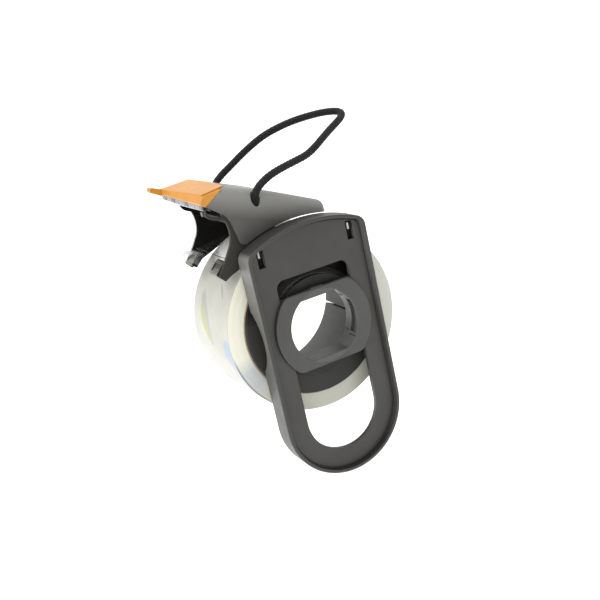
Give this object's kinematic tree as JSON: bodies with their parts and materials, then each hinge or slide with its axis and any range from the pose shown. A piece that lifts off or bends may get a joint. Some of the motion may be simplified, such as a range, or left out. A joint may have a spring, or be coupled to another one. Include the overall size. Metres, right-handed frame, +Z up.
{
  "type": "hand-held tape dispenser",
  "caption": "Hand-held packing tape dispenser: slotted side plate, hooded cutting head with orange brow, sliding quick-change hub, tape roll and elastic hand loop.",
  "frame": {"origin": "on the hub's axis, in the plane of the tape roll's near face", "axes": "+Z up from the finger slot to the head, -X towards the cutting edge, +Y from the side plate towards the roll"},
  "size_m": [0.1094, 0.0701, 0.1819],
  "materials": {
    "shell_grey": "satin moulded",
    "inner_grey": "satin moulded",
    "hub_grey": "satin moulded",
    "orange": "satin moulded",
    "tab_grey": "fine ribbed",
    "steel": "rolled strip",
    "clear_film": "clear, slightly cloudy",
    "felt": "pressed felt",
    "cardboard": "wound paper board",
    "tape": "wound translucent film",
    "tape_film": "single layer of film",
    "elastic": "braided cover"
  },
  "bodies": {
    "frame": {"side_plate": "shell_grey", "head_frame": "inner_grey", "hood": "shell_grey", "nose_cap": "orange", "blade": "steel", "blade_clamp": "inner_grey", "blade_screws": "steel", "film_guide": "clear_film", "near_tab": "tab_grey", "far_tab": "tab_grey", "tape_lead": "tape_film", "elastic_cord": "elastic", "near_ferrule": "steel", "far_ferrule": "steel"},
    "slider": {"slide_ring": "inner_grey"},
    "hub": {"lock_hub": "hub_grey", "wave_spring": "steel", "drag_washer": "felt"},
    "spool": {"spool_drum": "hub_grey", "cardboard_core": "cardboard", "tape_roll": "tape"}
  },
  "joints": [
    {"name": "hub_slide", "type": "slide", "parent": "frame", "child": "slider", "axis": [0, 0, 1], "range_m": [-0.0487, 0]},
    {"name": "hub_turn", "type": "hinge", "parent": "slider", "child": "hub", "pos_m": [0, 0, 0], "axis": [0, 1, 0], "range_deg": [0, 90]},
    {"name": "spool_spin", "type": "hinge", "parent": "hub", "child": "spool", "pos_m": [0, 0, 0], "axis": [0, 1, 0], "continuous": true}
  ]
}
